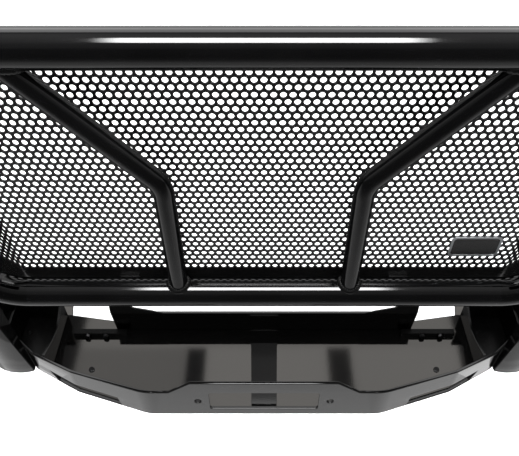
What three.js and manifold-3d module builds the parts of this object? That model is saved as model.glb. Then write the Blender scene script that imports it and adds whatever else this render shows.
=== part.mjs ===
// Front grille guard with a winch tray, for a pickup truck.
// Millimetres, +Z up, +X to the right seen from the front, +Y towards the vehicle.
// The origin is under the middle of the guard, on the ground plane that the tray stands on.
import * as THREE from "three";
import { mergeVertices } from "three/addons/utils/BufferGeometryUtils.js";
import Module from "manifold-3d";

const wasm = await Module();
wasm.setup();

// ---- Driving dimensions -------------------------------------------------------------------

const GAP = 0.3; // clearance between pieces that are welded or bolted together
const SHEET = 6; // plate thickness of the tray and its brackets
const LARGE_TUBE = { radius: 25.4, wall: 3.2 };
const SMALL_TUBE = { radius: 15.9, wall: 2.6 };

// The ring frame is a rounded rectangle of large tube, standing upright.
const RING = { y: -30, top: 738, bottom: 282, halfWidth: 512.5, bend: 110 };

// Each inner brace stands on the bottom tube, then leans outwards to the top tube.
const BRACE = { footX: 145.5, kneeZ: 527, headX: 335, bend: 50 };

// The perforated screen is flat in the middle, and its two sides fold back.
const SCREEN = { thickness: 2.5, bottom: 246, top: 742, flatHalf: 419, side: 88, fold: 29, corner: 14 };
const TAB = { width: 34, height: 22, x: [236, 250] };
const BADGE = { x: 352, z: 366, width: 84, height: 46, thickness: 2, corner: 8 };

// Half of the tray's front edge in plan, from the middle outwards.
const FRONT_EDGE = [
  [227.6, -115.5],
  [378.6, -68],
  [474, -17],
  [538, 39],
];
// Half of the front plate's top edge, from the middle outwards, as x and z.
const FRONT_TOP = [
  [138, 117.5],
  [181, 84],
  [231, 84],
  [378.6, 78],
  [474, 63],
  [540, 58],
];
const TRAY = { rear: 119, endWallX: 450, outerWallX: 538, outerWallHeight: 75, pocketBack: 120 };
// Half of the deck's rear edge in plan, which is cut back in the middle.
const REAR_EDGE = [
  [335, 104],
  [430, TRAY.rear],
  [TRAY.outerWallX, TRAY.rear],
];
// The top edge of each end wall dips in the middle, as y and z from the front.
const END_WALL_TOP = [
  [-60, 63],
  [-17, 63],
  [22, 49],
  [62, 40],
  [85, 45],
  [TRAY.rear, 60],
];
const FAIRLEAD = { slotWidth: 210, slotHeight: 60, z: 52, holeX: 127, holeRadius: 6.75, corner: 5 };
const LIGHT_SLOT = [
  [286, 4],
  [290, 29],
  [438, 29],
  [424, 4],
];

const CROSS = { y: 81, footHalf: 326, topHalf: 330, top: 66 };
// Each ear stands on the cross plate and leans back by the given degrees.
const EAR = { lean: 36, height: 45, outer: 337, foot: 10 };
// The ear's inner edge, as x and the distance up its slope.
const EAR_EDGE = [
  [212, 0],
  [281, 12],
  [297, 22],
  [303, EAR.height],
];
const STRAP = { thickness: 5, frontWidth: 50, rearWidth: 60, frontY: -100, below: 2 };
const CLAMP = { from: 300, to: 417, y: 62, depth: 12, height: 12, boltX: [346, 386] };
const CLAMP_BOLT = { radius: 6, head: 6 };
const UPRIGHT_BOLT = { radius: 8, head: 7, y: [66, 92] };
const DECK_BOLT = { x: 361, y: -20, radius: 6, head: 3 };

// Uprights stand outside the ring and carry it, the noses and the headlight hoops.
const UPRIGHT = {
  thickness: 7,
  top: 748,
  corner: 20,
  front: -52,
  back: 18,
  noseBack: -12.2,
  shoulder: 240,
  neck: 274,
  foot: 120,
  waist: 330,
};
const NOSE = { x: 512, radius: 95, front: -24, thickness: 5, inner: 483, outer: 600, height: 215, lean: 24 };
// A flat arm runs back and slightly outwards from each end of the deck to a bolted bracket.
const ARM = { inner: 434, outer: 461, rear: 190, flare: 16 };
const BRACKET = { width: 55, height: 45, corner: 6, holeRadius: 6, holeSpacing: 30, holeZ: 30 };

// Each headlight hoop is swept back about the upright.
const HOOP = { top: 690, bottom: 350, reach: 305, bend: 80, sweep: 22, braceAt: 150 };
const FLANGE = { radius: 38, thickness: 6 };

const TUBE_SIDES = 16;
const BORE_SIDES = 10;
const BEND_STEPS = 5;

const black = new THREE.MeshStandardMaterial({ color: 0x0b0b0c, roughness: 0.15, metalness: 0 });
const satin = new THREE.MeshStandardMaterial({ color: 0x101011, roughness: 0.4, metalness: 0 });
const screenBlack = new THREE.MeshStandardMaterial({ color: 0x0a0a0b, roughness: 0.3, metalness: 0 });
const zinc = new THREE.MeshStandardMaterial({ color: 0x1a1a1b, roughness: 0.4, metalness: 0.8 });
const badgeMetal = new THREE.MeshStandardMaterial({ color: 0x8f9296, roughness: 0.35, metalness: 1 });

// ---- Joining and cutting ------------------------------------------------------------------

function solidOf(geometry) {
  const bare = geometry.clone();
  bare.deleteAttribute("normal");
  bare.deleteAttribute("uv");
  const merged = mergeVertices(bare, 1e-3);
  const mesh = new wasm.Mesh({
    numProp: 3,
    vertProperties: merged.attributes.position.array,
    triVerts: new Uint32Array(merged.index.array),
  });
  return new wasm.Manifold(mesh);
}

function geometryOf(solid) {
  const mesh = solid.getMesh();
  const geometry = new THREE.BufferGeometry();
  geometry.setAttribute("position", new THREE.BufferAttribute(new Float32Array(mesh.vertProperties), 3));
  geometry.setIndex(new THREE.BufferAttribute(new Uint32Array(mesh.triVerts), 1));
  geometry.computeVertexNormals();
  return geometry;
}

function cut(geometry, ...tools) {
  const remove = (solid, tool) => solid.subtract(solidOf(tool));
  return geometryOf(tools.reduce(remove, solidOf(geometry)));
}

function common(geometry, tool) {
  return geometryOf(solidOf(geometry).intersect(solidOf(tool)));
}

function fused(geometry, other) {
  return geometryOf(solidOf(geometry).add(solidOf(other)));
}

// ---- Plates -------------------------------------------------------------------------------

const vector = ([x, y]) => new THREE.Vector2(x, y);
const mirrored = (half) => [...half.map(([x, y]) => [-x, y]).reverse(), ...half];

function extrude(points, depth) {
  const shape = new THREE.Shape(points.map(vector));
  return new THREE.ExtrudeGeometry(shape, { depth, bevelEnabled: false });
}

// A plate drawn in plan (x, y), from z = low to z = high.
function planPlate(points, low, high) {
  return extrude(points, high - low).translate(0, 0, low);
}

// A plate drawn from the front (x, z), from y = near to y = far.
function frontPlate(points, near, far) {
  return extrude(points, far - near)
    .rotateX(Math.PI / 2)
    .translate(0, far, 0);
}

// A plate drawn from the side (y, z), from x = near to x = far.
function sidePlate(points, near, far) {
  const turn = new THREE.Matrix4().makeBasis(
    new THREE.Vector3(0, 1, 0),
    new THREE.Vector3(0, 0, 1),
    new THREE.Vector3(1, 0, 0),
  );
  return extrude(points, far - near)
    .applyMatrix4(turn)
    .translate(near, 0, 0);
}

function block(low, high) {
  const size = high.map((value, i) => value - low[i]);
  const middle = high.map((value, i) => (value + low[i]) / 2);
  return new THREE.BoxGeometry(...size).translate(...middle);
}

// The points of a line moved sideways to its left, with mitred corners.
function offset(points, distance) {
  const line = points.map(vector);
  const normals = line.slice(1).map((end, i) => {
    const along = end.clone().sub(line[i]).normalize();
    return new THREE.Vector2(-along.y, along.x);
  });
  return line.map((point, i) => {
    const before = normals[Math.max(i - 1, 0)];
    const after = normals[Math.min(i, normals.length - 1)];
    const mitre = before.clone().add(after).multiplyScalar(distance / (1 + before.dot(after)));
    return [point.x + mitre.x, point.y + mitre.y];
  });
}

// Everything behind a line drawn across the plan, up to z = high.
function areaBehind(line, high) {
  const far = 700;
  return planPlate([...line, [far, far], [-far, far]], -1, high);
}

// The outline of a bent sheet whose outer side follows the points.
function bentSheet(points, thickness) {
  return [...points, ...offset(points, thickness).reverse()];
}

function arcPoints(x, y, radius, from, to, steps) {
  return Array.from({ length: steps + 1 }, (_, i) => {
    const angle = THREE.MathUtils.degToRad(from + ((to - from) * i) / steps);
    return [x + radius * Math.cos(angle), y + radius * Math.sin(angle)];
  });
}

function roundedRectangle(x, y, width, height, corner) {
  const right = x + width / 2 - corner;
  const left = x - width / 2 + corner;
  const top = y + height / 2 - corner;
  const bottom = y - height / 2 + corner;
  return [
    ...arcPoints(right, top, corner, 0, 90, 3),
    ...arcPoints(left, top, corner, 90, 180, 3),
    ...arcPoints(left, bottom, corner, 180, 270, 3),
    ...arcPoints(right, bottom, corner, 270, 360, 3),
  ];
}

function circle(x, y, radius, sides) {
  return arcPoints(x, y, radius, 0, 360, sides).slice(0, -1);
}

// ---- Tubes --------------------------------------------------------------------------------

// A route of straight runs joined by round bends, sampled only where it turns.
class Route extends THREE.Curve {
  constructor(corners, bend) {
    super();
    this.points = [];
    this.tangents = [];
    const spots = corners.map((corner) => new THREE.Vector3(...corner));
    const heading = (i) => spots[i + 1].clone().sub(spots[i]).normalize();
    this.add(spots[0], heading(0));
    for (let i = 1; i < spots.length - 1; i++) this.turn(spots[i], heading(i - 1), heading(i), bend);
    this.add(spots.at(-1), heading(spots.length - 2));
  }

  add(point, tangent) {
    this.points.push(point);
    this.tangents.push(tangent);
  }

  turn(corner, before, after, bend) {
    const angle = before.angleTo(after);
    const axis = before.clone().cross(after).normalize();
    const start = corner.clone().addScaledVector(before, -bend * Math.tan(angle / 2));
    const inward = axis.clone().cross(before);
    const centre = start.clone().addScaledVector(inward, bend);
    for (let i = 0; i <= BEND_STEPS; i++) {
      const part = (angle * i) / BEND_STEPS;
      const arm = inward.clone().multiplyScalar(-bend).applyAxisAngle(axis, part);
      this.add(centre.clone().add(arm), before.clone().applyAxisAngle(axis, part));
    }
  }

  getPointAt(u) {
    return this.points[Math.round(u * (this.points.length - 1))].clone();
  }

  getTangentAt(u) {
    return this.tangents[Math.round(u * (this.points.length - 1))].clone();
  }
}

function tube(corners, size, bend = 0) {
  const route = new Route(corners, bend);
  const section = new THREE.Shape(circle(0, 0, size.radius, TUBE_SIDES).map(vector));
  section.holes.push(new THREE.Path(circle(0, 0, size.radius - size.wall, BORE_SIDES).map(vector)));
  const steps = route.points.length - 1;
  return new THREE.ExtrudeGeometry(section, { steps, extrudePath: route, bevelEnabled: false });
}

// A solid rod along x, for cutting a saddle that fits round a level tube.
function levelRod(z, radius) {
  const length = 2 * RING.halfWidth;
  return new THREE.CylinderGeometry(radius, radius, length, 2 * TUBE_SIDES)
    .rotateZ(Math.PI / 2)
    .translate(0, RING.y, z);
}

const saddles = () => [RING.bottom, RING.top].map((z) => levelRod(z, LARGE_TUBE.radius + GAP));

// ---- The guard ----------------------------------------------------------------------------

const guard = new THREE.Group();

function addPiece(name, geometry, material) {
  const mesh = new THREE.Mesh(geometry, material);
  mesh.name = name;
  guard.add(mesh);
  return mesh;
}

// The geometry is drawn on the right, and the left piece is its mirror image.
function addPair(name, geometry, material) {
  addPiece(`${name}_right`, geometry, material);
  addPiece(`${name}_left`, geometry, material).scale.x = -1;
}

function addRing() {
  const { y, top, bottom, halfWidth, bend } = RING;
  const straight = halfWidth - bend;
  addPiece("frame_top_tube", tube([[-straight, y, top], [straight, y, top]], LARGE_TUBE), black);
  addPiece("frame_bottom_tube", tube([[-straight, y, bottom], [straight, y, bottom]], LARGE_TUBE), black);
  const corners = [
    [straight + GAP, y, bottom],
    [halfWidth, y, bottom],
    [halfWidth, y, top],
    [straight + GAP, y, top],
  ];
  addPair("frame_side_tube", tube(corners, LARGE_TUBE, bend - 2 * GAP), black);
}

function addBraces() {
  const corners = [
    [BRACE.footX, RING.y, RING.bottom],
    [BRACE.footX, RING.y, BRACE.kneeZ],
    [BRACE.headX, RING.y, RING.top],
  ];
  const route = tube(corners, SMALL_TUBE, BRACE.bend);
  addPair("brace", cut(route, ...saddles()), black);
}

function screenLine() {
  const fold = THREE.MathUtils.degToRad(SCREEN.fold);
  const edgeX = SCREEN.flatHalf + SCREEN.side * Math.cos(fold);
  const edgeY = SCREEN.side * Math.sin(fold);
  return mirrored([
    [SCREEN.flatHalf, 0],
    [edgeX, edgeY],
  ]);
}

// The screen reaches from behind the bottom tube to just above the top one.
function addScreen() {
  const line = screenLine();
  const sheet = planPlate(bentSheet(line, SCREEN.thickness), SCREEN.bottom, SCREEN.top);
  const middleZ = (SCREEN.top + SCREEN.bottom) / 2;
  const edge = 2 * line.at(-1)[0];
  const face = roundedRectangle(0, middleZ, edge, SCREEN.top - SCREEN.bottom, SCREEN.corner);
  addPiece("grille_screen", common(sheet, frontPlate(face, -1, SCREEN.side)), screenBlack);
}

function addBadge() {
  const { x, z, width, height, thickness, corner } = BADGE;
  const face = roundedRectangle(x, z, width, height, corner);
  addPiece("badge_plate", frontPlate(face, -GAP - thickness, -GAP), badgeMetal);
}

function addScreenTabs() {
  const reach = LARGE_TUBE.radius;
  const levels = { bottom: RING.bottom, top: RING.top };
  Object.entries(levels).forEach(([name, z], i) => {
    const x = TAB.x[i];
    const low = [x - TAB.width / 2, RING.y + reach / 2, z - TAB.height / 2];
    const high = [x + TAB.width / 2, -GAP, z + TAB.height / 2];
    addPair(`screen_tab_${name}`, cut(block(low, high), ...saddles()), satin);
  });
}

function addTrayFront() {
  const face = bentSheet(mirrored(FRONT_EDGE), SHEET);
  const highest = FRONT_TOP[0][1];
  const end = FRONT_TOP.at(-1)[0];
  const sides = [[-end, 0], ...mirrored(FRONT_TOP), [end, 0]];
  const rear = FRONT_EDGE.at(-1)[1] + SHEET;
  const front = FRONT_EDGE[0][1] - SHEET;
  const shaped = common(planPlate(face, 0, highest), frontPlate(sides, front, rear));
  const slot = roundedRectangle(0, FAIRLEAD.z, FAIRLEAD.slotWidth, FAIRLEAD.slotHeight, FAIRLEAD.corner);
  const holes = [-1, 1].map((side) => circle(side * FAIRLEAD.holeX, FAIRLEAD.z, FAIRLEAD.holeRadius, 16));
  const lights = [-1, 1].map((side) => LIGHT_SLOT.map(([x, z]) => [side * x, z]));
  const tools = [slot, ...holes, ...lights].map((outline) => frontPlate(outline, front, rear));
  addPiece("tray_front_plate", cut(shaped, ...tools), black);
}

function addTrayFloor() {
  const inside = offset(mirrored(FRONT_EDGE), SHEET + GAP);
  const floor = planPlate([...inside, ...mirrored(REAR_EDGE).toReversed()], 0, SHEET);
  const between = (from, to) => block([from, -200, -1], [to, 200, SHEET + 1]);
  const wallInside = TRAY.endWallX - SHEET - GAP;
  addPiece("tray_deck", common(floor, between(-wallInside, wallInside)), black);
  const pocket = between(TRAY.endWallX + GAP, TRAY.outerWallX - SHEET - GAP);
  addPair("tray_pocket_floor", common(floor, pocket), satin);
}

function addTrayWalls() {
  const { endWallX, outerWallX, outerWallHeight, pocketBack, rear } = TRAY;
  const clear = areaBehind(offset(mirrored(FRONT_EDGE), SHEET + GAP), pocketBack);
  const side = [[END_WALL_TOP[0][0], 0], [rear, 0], ...END_WALL_TOP.toReversed()];
  const endWall = sidePlate(side, endWallX - SHEET, endWallX);
  addPair("tray_end_wall", common(endWall, clear), black);
  const wallFront = FRONT_EDGE.at(-1)[1] + SHEET;
  const outerWall = block([outerWallX - SHEET, wallFront, 0], [outerWallX, rear, outerWallHeight]);
  addPair("tray_outer_wall", outerWall, black);
  const low = [endWallX + GAP, rear - SHEET, SHEET + GAP];
  const high = [outerWallX - SHEET - GAP, rear, pocketBack];
  addPair("tray_pocket_back", block(low, high), black);
}

function addCrossPlate() {
  const { y, footHalf, topHalf, top } = CROSS;
  const low = SHEET + GAP;
  const wall = [[-footHalf, low], [footHalf, low], [topHalf, top], [-topHalf, top]];
  addPiece("tray_cross_plate", frontPlate(wall, y, y + SHEET), black);
  const { lean, height, outer, foot } = EAR;
  const outline = [[EAR_EDGE[0][0], -foot], ...EAR_EDGE, [outer, height], [topHalf, 0], [topHalf, -foot]];
  const ear = frontPlate(outline, 0, SHEET)
    .rotateX(-THREE.MathUtils.degToRad(lean))
    .translate(0, y, top + GAP);
  const above = block([0, 0, top + GAP], [2 * topHalf, 2 * y, 2 * top + height]);
  addPair("cross_ear", common(ear, above), black);
}

// A strap bent once: level on the deck, then up the front of the cross plate.
function addCentreStrap() {
  const low = SHEET + GAP;
  const line = [
    [STRAP.frontY, low],
    [CROSS.y - GAP, low],
    [CROSS.y - GAP, CROSS.top - STRAP.below],
  ];
  const width = STRAP.rearWidth / 2;
  const strap = sidePlate(bentSheet(line, STRAP.thickness), -width, width);
  const taper = [
    [STRAP.frontWidth / 2, STRAP.frontY - 1],
    [STRAP.rearWidth / 2, CROSS.y],
  ];
  addPiece("tray_centre_strap", common(strap, planPlate(mirrored(taper), 0, CROSS.top)), black);
}

// A hexagonal bolt head whose axis runs along y.
function hexHead({ radius, head }) {
  return new THREE.CylinderGeometry(radius, radius, head, 6);
}

function addClamps() {
  const { from, to, y, depth, height, boltX } = CLAMP;
  const low = SHEET + GAP;
  addPair("clamp_bar", block([from, y, low], [to, y + depth, low + height]), satin);
  boltX.forEach((x, i) => {
    const bolt = hexHead(CLAMP_BOLT).translate(x, y - GAP - CLAMP_BOLT.head / 2, low + height / 2);
    addPair(`clamp_bolt_${i + 1}`, bolt, zinc);
  });
  const deckBolt = hexHead(DECK_BOLT)
    .rotateX(Math.PI / 2)
    .translate(DECK_BOLT.x, DECK_BOLT.y, low + DECK_BOLT.head / 2);
  addPair("deck_bolt", deckBolt, zinc);
}

function addUprights() {
  const { thickness, top, corner, front, back, noseBack, shoulder, neck, foot, waist } = UPRIGHT;
  const inner = TRAY.outerWallX + GAP;
  const outline = [
    [noseBack, 0],
    [TRAY.rear, 0],
    [TRAY.rear, foot],
    [back, waist],
    ...arcPoints(back - corner, top - corner, corner, 0, 90, 3),
    ...arcPoints(front + corner, top - corner, corner, 90, 180, 3),
    [front, neck],
    [noseBack, shoulder],
  ];
  addPair("upright", sidePlate(outline, inner, inner + thickness), black);
  const boltZ = TRAY.outerWallHeight / 2;
  UPRIGHT_BOLT.y.forEach((y, i) => {
    const bolt = hexHead(UPRIGHT_BOLT)
      .rotateZ(Math.PI / 2)
      .translate(inner + thickness + GAP + UPRIGHT_BOLT.head / 2, y, boltZ);
    addPair(`upright_bolt_${i + 1}`, bolt, zinc);
  });
}

// A strip along each nose's leaning inner edge, folded back to the line of the front plate.
function noseFold(curve) {
  const { front, thickness, inner, outer, height, lean } = NOSE;
  const strip = [
    [inner, 0],
    [inner + thickness, 0],
    [inner + lean + thickness, height],
    [inner + lean, height],
  ];
  const rear = front + outer - inner;
  const behindCurve = planPlate([...curve, [outer, rear], [inner, rear]], 0, height);
  const fold = common(frontPlate(strip, front, rear), behindCurve);
  return cut(fold, areaBehind(offset(mirrored(FRONT_EDGE), -GAP), height + 1));
}

// A curved cover on the front of each upright, whose inner edge leans outwards.
function addNoses() {
  const { x, radius, front, thickness, inner, outer, height, lean } = NOSE;
  const angleAt = (edge) => THREE.MathUtils.radToDeg(Math.asin((edge - x) / radius)) - 90;
  const curve = arcPoints(x, front + radius, radius, angleAt(inner), angleAt(outer), 12);
  const shell = planPlate(bentSheet(curve, thickness), 0, height);
  const face = [
    [inner, 0],
    [outer + 1, 0],
    [outer + 1, height],
    [inner + lean, height],
  ];
  const cover = common(shell, frontPlate(face, front - 1, front + radius));
  addPair("upright_nose", fused(cover, noseFold(curve)), black);
}

// Each arm lies flat behind the deck and ends at an upright bracket.
function addBrackets() {
  const { inner, outer, rear, flare } = ARM;
  const arm = [
    [inner, TRAY.rear + GAP],
    [outer, TRAY.rear + GAP],
    [outer + flare, rear],
    [inner + flare, rear],
  ];
  addPair("frame_arm", planPlate(arm, 0, SHEET), black);
  const { width, height, corner, holeRadius, holeSpacing, holeZ } = BRACKET;
  const middle = (inner + outer) / 2 + flare;
  const near = rear + GAP;
  const face = roundedRectangle(middle, height / 2, width, height, corner);
  const holes = [-1, 1].map((side) => {
    const hole = circle(middle + (side * holeSpacing) / 2, holeZ, holeRadius, 12);
    return frontPlate(hole, near - 1, near + SHEET + 1);
  });
  addPair("frame_bracket", cut(frontPlate(face, near, near + SHEET), ...holes), black);
}

// Each hoop is drawn along +x from the upright, then swept back.
function addHoops() {
  const start = TRAY.outerWallX + GAP + UPRIGHT.thickness + GAP;
  const sweep = THREE.MathUtils.degToRad(HOOP.sweep);
  const flangeEnd = FLANGE.thickness + GAP;
  const placed = (geometry) => geometry.rotateZ(sweep).translate(start, RING.y, 0);
  const straight = HOOP.reach - HOOP.bend;
  const outside = block([-600, -200, 0], [flangeEnd, 400, 900]).translate(start, 0, 0);
  const levels = { upper: HOOP.top, lower: HOOP.bottom };
  Object.entries(levels).forEach(([name, z]) => {
    const run = placed(tube([[-10, 0, z], [straight, 0, z]], LARGE_TUBE));
    addPair(`hoop_${name}_tube`, cut(run, outside), black);
    const disc = new THREE.CylinderGeometry(FLANGE.radius, FLANGE.radius, FLANGE.thickness, 24)
      .rotateZ(Math.PI / 2)
      .translate(start + FLANGE.thickness / 2, RING.y, z);
    addPair(`hoop_${name}_flange`, disc, black);
  });
  const corners = [
    [straight + GAP, 0, HOOP.bottom],
    [HOOP.reach, 0, HOOP.bottom],
    [HOOP.reach, 0, HOOP.top],
    [straight + GAP, 0, HOOP.top],
  ];
  addPair("hoop_outer_tube", placed(tube(corners, LARGE_TUBE, HOOP.bend - 2 * GAP)), black);
  const brace = tube([[HOOP.braceAt, 0, HOOP.bottom], [HOOP.braceAt, 0, HOOP.top]], SMALL_TUBE);
  const rods = Object.values(levels).map((z) =>
    levelRod(z, LARGE_TUBE.radius + GAP).translate(0, -RING.y, 0),
  );
  addPair("hoop_brace", placed(cut(brace, ...rods)), black);
}

addRing();
addBraces();
addScreen();
addBadge();
addScreenTabs();
addTrayFront();
addTrayFloor();
addTrayWalls();
addCrossPlate();
addCentreStrap();
addClamps();
addUprights();
addNoses();
addBrackets();
addHoops();

// The origin sits under the middle of the whole guard.
guard.updateMatrixWorld(true);
guard.position.y = -new THREE.Box3().setFromObject(guard).getCenter(new THREE.Vector3()).y;

export default guard;
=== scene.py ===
"""A gloss-black grille guard with a winch tray, in a white studio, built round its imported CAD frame.

Shapes are drawn in millimetres, in the CAD source's own frame, and placed() turns them to metres.
X is to the right seen from the front, Y goes back towards the vehicle and Z goes up.
"""

import math

import bmesh
import bpy
import numpy as np
from mathutils import Matrix, Vector, geometry


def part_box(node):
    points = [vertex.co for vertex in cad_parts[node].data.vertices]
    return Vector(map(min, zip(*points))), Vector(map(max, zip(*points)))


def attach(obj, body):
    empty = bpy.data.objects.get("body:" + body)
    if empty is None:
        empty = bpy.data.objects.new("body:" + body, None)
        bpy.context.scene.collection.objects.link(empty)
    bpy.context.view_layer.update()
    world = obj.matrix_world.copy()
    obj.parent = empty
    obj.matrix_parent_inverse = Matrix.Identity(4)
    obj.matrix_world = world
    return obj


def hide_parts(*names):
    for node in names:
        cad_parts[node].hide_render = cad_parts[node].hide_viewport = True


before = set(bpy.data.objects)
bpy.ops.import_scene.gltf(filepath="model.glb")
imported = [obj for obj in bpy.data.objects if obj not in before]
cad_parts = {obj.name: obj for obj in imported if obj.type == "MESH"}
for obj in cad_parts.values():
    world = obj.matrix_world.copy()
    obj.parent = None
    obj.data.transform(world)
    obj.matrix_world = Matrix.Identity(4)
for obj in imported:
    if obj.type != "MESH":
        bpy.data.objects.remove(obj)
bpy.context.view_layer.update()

# ---- Driving dimensions, in millimetres -----------------------------------------------------

LARGE_RADIUS = 25.4
SMALL_RADIUS = 15.9
RING = {"y": -30, "top": 738, "bottom": 282, "half_width": 512.5, "bend": 110}
BRACE = {"foot_x": 145.5, "knee_z": 527, "head_x": 335, "bend": 50}
HOOP = {"x": 545.6, "top": 690, "bottom": 350, "reach": 305, "bend": 80, "sweep": 22, "brace_at": 150}
FLANGE = {"radius": 38, "thickness": 6, "chamfer": 1}
WELD = {"radius": 4.6, "ripples": 26, "ripple_height": 0.13}

SCREEN = {"bottom": 246, "top": 742, "flat_half": 419, "side": 88, "fold": 29, "bend": 24}
SCREEN_THICKNESS = 2.5
SCREEN_CORNER = 14
HOLE = {"pitch": 12.7, "radius": 4.6, "row_z": 491.2, "sides": 12}
# Holes keep this far from the screen's edges, and above the plain strip along its bottom.
HOLE_MARGIN = 4
PLAIN_STRIP_TOP = 300

SHEET = 6
# Pieces that are welded or bolted together stand this far apart, as in the CAD.
GAP = 0.3
FRONT_LINE = [(0, -115.5), (227.6, -115.5), (378.6, -68), (474, -17), (538, 39)]
FRONT_BENDS = [100, 60, 50]
FRONT_TOP = [(138, 117.5), (181, 84), (231, 84), (378.6, 78), (474, 63), (540, 58)]
FAIRLEAD = {"width": 210, "height": 60, "z": 52, "hole_x": 127, "hole_radius": 6.75, "corner": 5}
LIGHT_SLOT = [(286, 4), (290, 29), (438, 29), (424, 4)]
STRAP = {"front_width": 50, "rear_width": 60, "from": -100, "to": 80.7, "top": 64, "bend": 6}
STRAP_THICKNESS = 5
NOSE = {"x": 512, "radius": 95, "front": -24, "thickness": 5, "inner": 483, "outer": 600}
NOSE_HEIGHT = 215
NOSE_LEAN = 24
NOSE_CORNER = 14
BADGE = {"x": 352, "z": 366, "width": 84, "height": 46, "thickness": 2, "corner": 8}
BADGE_RIM = 4
BADGE_FIELD_THICKNESS = 1.2

# How far the edges of plates are rounded.
EDGE = 0.9
FRONT_PLATE_EDGE = 1.7
STRAP_EDGE = 0.7
BADGE_EDGE = 0.5

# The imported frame's origin is under the middle of the guard, so Y differs between the two frames.
TUBE_LOW, TUBE_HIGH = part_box("frame_top_tube")
SHIFT = 500 * (TUBE_LOW.y + TUBE_HIGH.y) - RING["y"]

SIDES = (("right", 1), ("left", -1))

# ---- Materials ------------------------------------------------------------------------------


def new_node(tree, kind, **values):
    """Adds a node and sets its properties, and the sockets that are named in inputs."""
    node = tree.nodes.new(kind)
    for name, value in values.pop("inputs", {}).items():
        node.inputs[name].default_value = value
    for name, value in values.items():
        setattr(node, name, value)
    return node


def coating(name, dark, light, roughness, peel, metallic=0.0, grain=420.0):
    """A paint or plating whose colour and gloss vary slightly, with a fine uneven surface."""
    material = bpy.data.materials.new(name)
    material.use_nodes = True
    tree = material.node_tree
    link = tree.links.new
    shader = tree.nodes["Principled BSDF"]
    shader.inputs["Metallic"].default_value = metallic
    shader.inputs["IOR"].default_value = 1.5
    place = new_node(tree, "ShaderNodeTexCoord")
    patches = new_node(tree, "ShaderNodeTexNoise", inputs={"Scale": 9.0, "Detail": 4.0})
    link(place.outputs["Object"], patches.inputs["Vector"])
    ramp = new_node(tree, "ShaderNodeValToRGB")
    for stop, position, colour in zip(ramp.color_ramp.elements, (0.35, 0.65), (dark, light)):
        stop.position = position
        stop.color = (*colour, 1)
    link(patches.outputs["Fac"], ramp.inputs["Fac"])
    link(ramp.outputs["Color"], shader.inputs["Base Color"])
    limits = {"To Min": roughness * 0.8, "To Max": roughness * 1.2}
    gloss = new_node(tree, "ShaderNodeMapRange", inputs=limits)
    link(patches.outputs["Fac"], gloss.inputs["Value"])
    link(gloss.outputs["Result"], shader.inputs["Roughness"])
    speckle = new_node(tree, "ShaderNodeTexNoise", inputs={"Scale": grain, "Detail": 2.0})
    link(place.outputs["Object"], speckle.inputs["Vector"])
    bump = new_node(tree, "ShaderNodeBump", inputs={"Strength": peel, "Distance": 0.0002})
    link(speckle.outputs["Fac"], bump.inputs["Height"])
    link(bump.outputs["Normal"], shader.inputs["Normal"])
    return material


MATERIALS = {
    "gloss_black_tube": coating(
        "tube_powder_coat",
        dark=(0.0008, 0.0008, 0.0009),
        light=(0.0014, 0.0014, 0.0015),
        roughness=0.07,
        peel=0.04,
    ),
    "gloss_black_plate": coating(
        "plate_powder_coat",
        dark=(0.001, 0.001, 0.0011),
        light=(0.002, 0.0019, 0.0018),
        roughness=0.06,
        peel=0.05,
    ),
    "screen_black": coating(
        "screen_powder_coat",
        dark=(0.003, 0.003, 0.0032),
        light=(0.005, 0.005, 0.005),
        roughness=0.22,
        peel=0.1,
    ),
    "satin_black": coating(
        "satin_paint",
        dark=(0.0015, 0.0015, 0.0016),
        light=(0.0025, 0.0025, 0.0025),
        roughness=0.26,
        peel=0.15,
    ),
    "black_zinc": coating(
        "black_zinc",
        dark=(0.03, 0.03, 0.032),
        light=(0.055, 0.055, 0.056),
        roughness=0.32,
        peel=0.2,
        metallic=1.0,
    ),
    "badge_metal": coating(
        "badge_metal",
        dark=(0.42, 0.43, 0.45),
        light=(0.5, 0.51, 0.53),
        roughness=0.28,
        peel=0.1,
        metallic=1.0,
    ),
}

# ---- Adding pieces --------------------------------------------------------------------------


def placed(points):
    """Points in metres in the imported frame, from millimetres in the drawing frame."""
    return (np.array(points, float) + (0, SHIFT, 0)) / 1000


def add_piece(name, shape, slot, *nodes, mirror=1, sharp=38):
    """Adds one piece from points and faces, riding on the guard's only body."""
    points, faces = shape
    points = np.array(points, float) * (mirror, 1, 1)
    if mirror < 0:
        faces = [tuple(reversed(face)) for face in faces]
    mesh = bpy.data.meshes.new(name)
    mesh.from_pydata(placed(points).tolist(), [], [tuple(map(int, face)) for face in faces])
    mesh.polygons.foreach_set("use_smooth", [True] * len(mesh.polygons))
    mesh.set_sharp_from_angle(angle=math.radians(sharp))
    mesh.materials.append(MATERIALS[slot])
    piece = bpy.data.objects.new(name, mesh)
    bpy.context.scene.collection.objects.link(piece)
    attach(piece, "root")
    if nodes:
        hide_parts(*nodes)
    return piece


def weight_normals(piece):
    """Keeps wide faces flat up to their rounded edges."""
    modifier = piece.modifiers.new("flat_faces", "WEIGHTED_NORMAL")
    modifier.keep_sharp = True


def joined(*shapes):
    """Several shapes as one."""
    points = []
    faces = []
    for some_points, some_faces in shapes:
        start = len(points)
        points.extend(np.array(some_points, float).tolist())
        faces.extend(tuple(start + i for i in face) for face in some_faces)
    return points, faces


# ---- Tubes and welds ------------------------------------------------------------------------

# Bends are this much tighter than the room for them, so that no two rings of points share a place.
BEND_ROOM = 1
# A direction that no tube runs along, from which the rings of points start.
ASIDE = (0.31, 0.95, 0.05)
WELD_STEPS = 8 * WELD["ripples"]


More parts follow.
